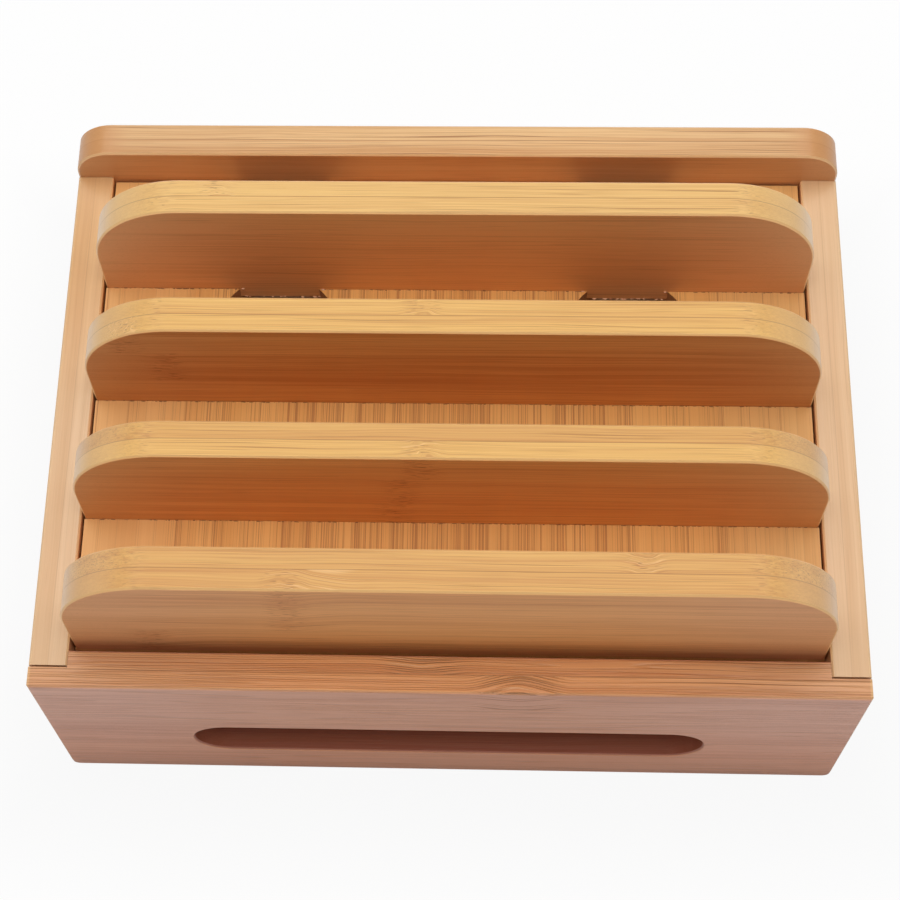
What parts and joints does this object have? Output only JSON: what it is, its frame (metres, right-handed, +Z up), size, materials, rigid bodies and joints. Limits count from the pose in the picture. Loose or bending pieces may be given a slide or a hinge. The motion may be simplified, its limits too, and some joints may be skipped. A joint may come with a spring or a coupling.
{
  "type": "charging station organizer",
  "caption": "Bamboo desk box with a slotted front and a lift-off deck whose rounded upright dividers hold phones and tablets while their charging cables pass through to the box below.",
  "frame": {"origin": "middle of the footprint, on the surface that the feet stand on", "axes": "+Z up, +X along the width to the viewer's right, -Y towards the slotted front panel"},
  "size_m": [0.258, 0.195, 0.134],
  "materials": {
    "front_bamboo": "satin caramel bamboo, grain along the width",
    "back_bamboo": "satin caramel bamboo, grain along the width",
    "side_bamboo": "satin caramel bamboo, grain along the depth",
    "base_bamboo": "plain bamboo board",
    "rail_bamboo": "sawn bamboo batten",
    "dowel_wood": "plain turned wood",
    "foot_rubber": "matt black rubber",
    "deck_bamboo": "narrow-strip bamboo, strips along the depth",
    "divider_bamboo": "satin two-ply bamboo, grain along the width"
  },
  "bodies": {
    "box": {"front_panel": "front_bamboo", "back_panel": "back_bamboo", "left_side_panel": "side_bamboo", "right_side_panel": "side_bamboo", "base_panel": "base_bamboo", "left_deck_rail": "rail_bamboo", "right_deck_rail": "rail_bamboo", "back_dowel_left_lower": "dowel_wood", "back_dowel_left_upper": "dowel_wood", "back_dowel_right_lower": "dowel_wood", "back_dowel_right_upper": "dowel_wood", "foot_front_left": "foot_rubber", "foot_front_right": "foot_rubber", "foot_back_left": "foot_rubber", "foot_back_right": "foot_rubber"},
    "deck": {"deck_panel": "deck_bamboo", "divider_1": "divider_bamboo", "divider_2": "divider_bamboo", "divider_3": "divider_bamboo", "divider_4": "divider_bamboo"}
  },
  "joints": [
    {"name": "deck_lift", "type": "slide", "parent": "box", "child": "deck", "axis": [0, 0, 1], "range_m": [0, 0.06]}
  ]
}
